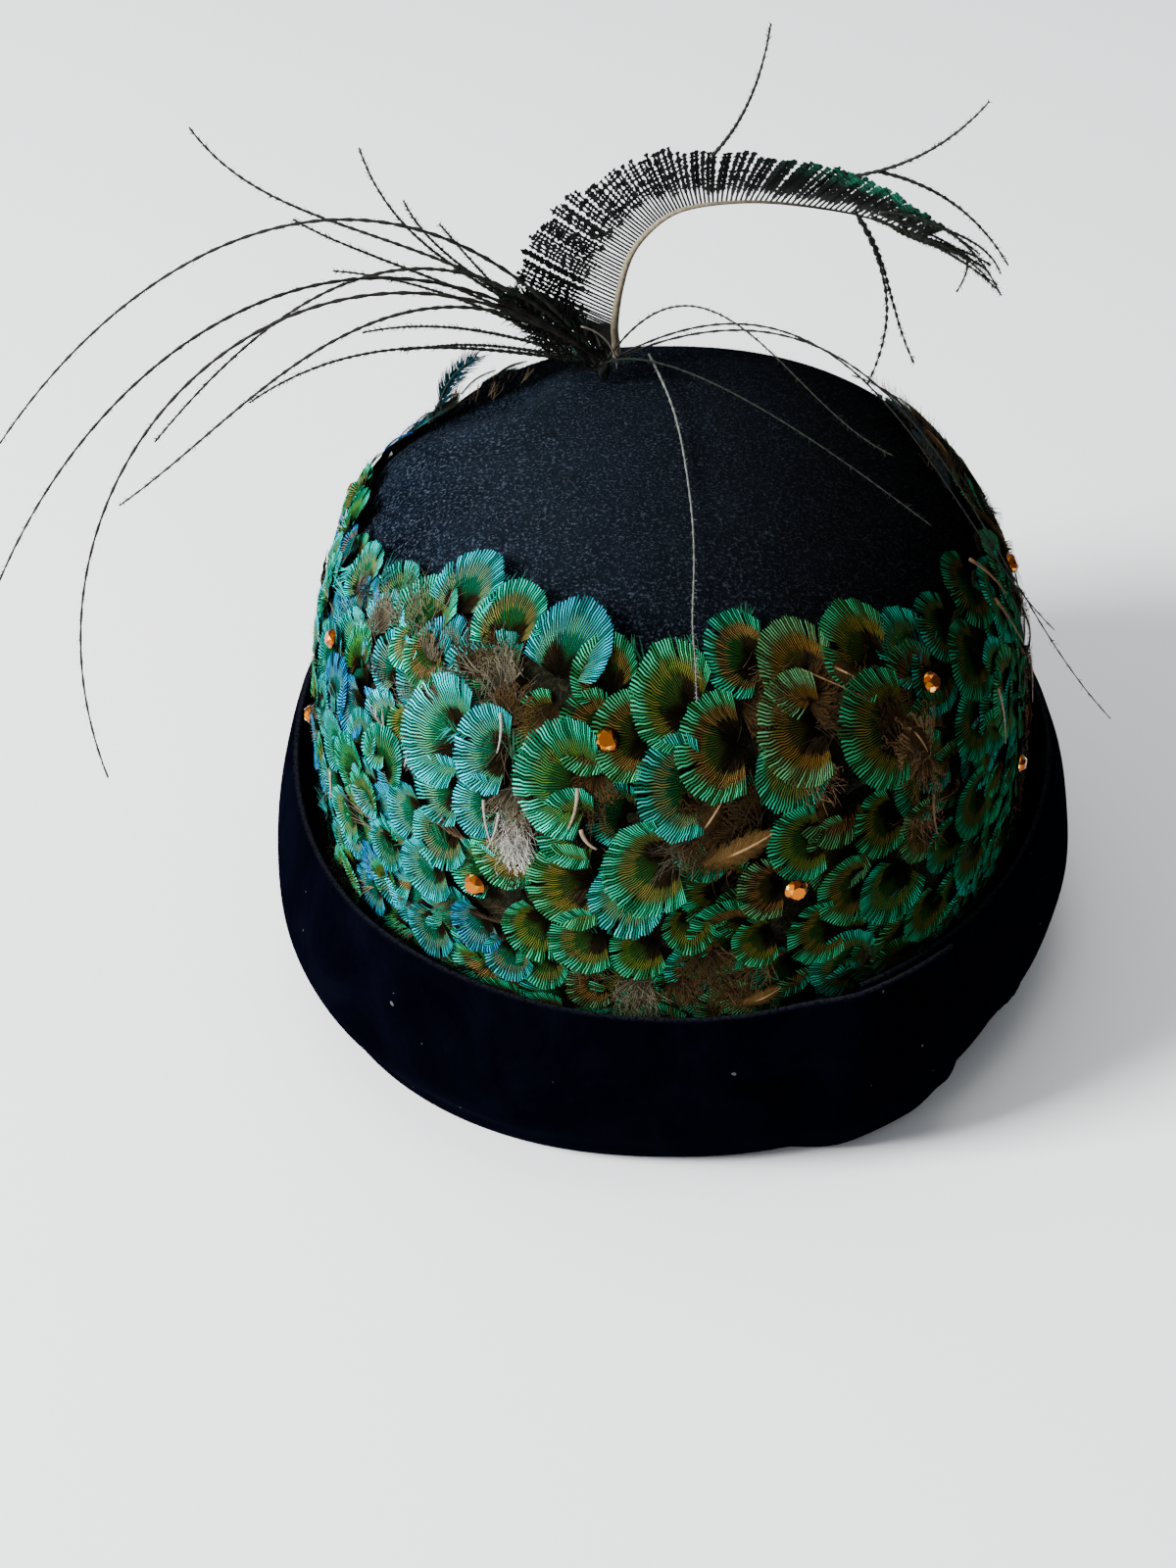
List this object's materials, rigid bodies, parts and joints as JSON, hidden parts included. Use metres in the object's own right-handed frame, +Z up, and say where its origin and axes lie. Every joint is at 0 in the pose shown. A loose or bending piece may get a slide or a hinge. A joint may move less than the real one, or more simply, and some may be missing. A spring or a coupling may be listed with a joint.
{
  "type": "cocktail hat with feather band and plume",
  "caption": "Close-fitting black felt hat with a turned-up velvet cuff, a wide band of small overlapping plumage feathers with cut stones, and a curved plume with long bare barbs.",
  "frame": {"origin": "middle of the head opening, in the plane of the cuff's lowest fold", "axes": "+Z up through the crown, the back of the hat faces -Y, +X to the right when the back is seen"},
  "size_m": [0.278, 0.2319, 0.2307],
  "materials": {
    "felt_black": "velour felt, napped and matt",
    "velvet_black": "short pile velvet",
    "plumage_green": "iridescent plumage, green, teal and bronze",
    "feather_dark": "dark barbs on a pale quill",
    "herl_dark": "bare dark barbs with short fluff",
    "feather_teal": "teal feather",
    "stone_amber": "cut, polished and foiled behind"
  },
  "bodies": {
    "root": {"crown": "felt_black", "cuff": "velvet_black", "feather_band": "plumage_green", "sword_feather": "feather_dark", "herl_spray": "herl_dark", "tuft_feather": "feather_teal", "rhinestone_01": "stone_amber", "rhinestone_02": "stone_amber", "rhinestone_03": "stone_amber", "rhinestone_04": "stone_amber", "rhinestone_05": "stone_amber", "rhinestone_06": "stone_amber", "rhinestone_07": "stone_amber", "rhinestone_08": "stone_amber", "rhinestone_09": "stone_amber", "rhinestone_10": "stone_amber", "rhinestone_11": "stone_amber", "rhinestone_12": "stone_amber", "rhinestone_13": "stone_amber", "rhinestone_14": "stone_amber"}
  },
  "joints": []
}
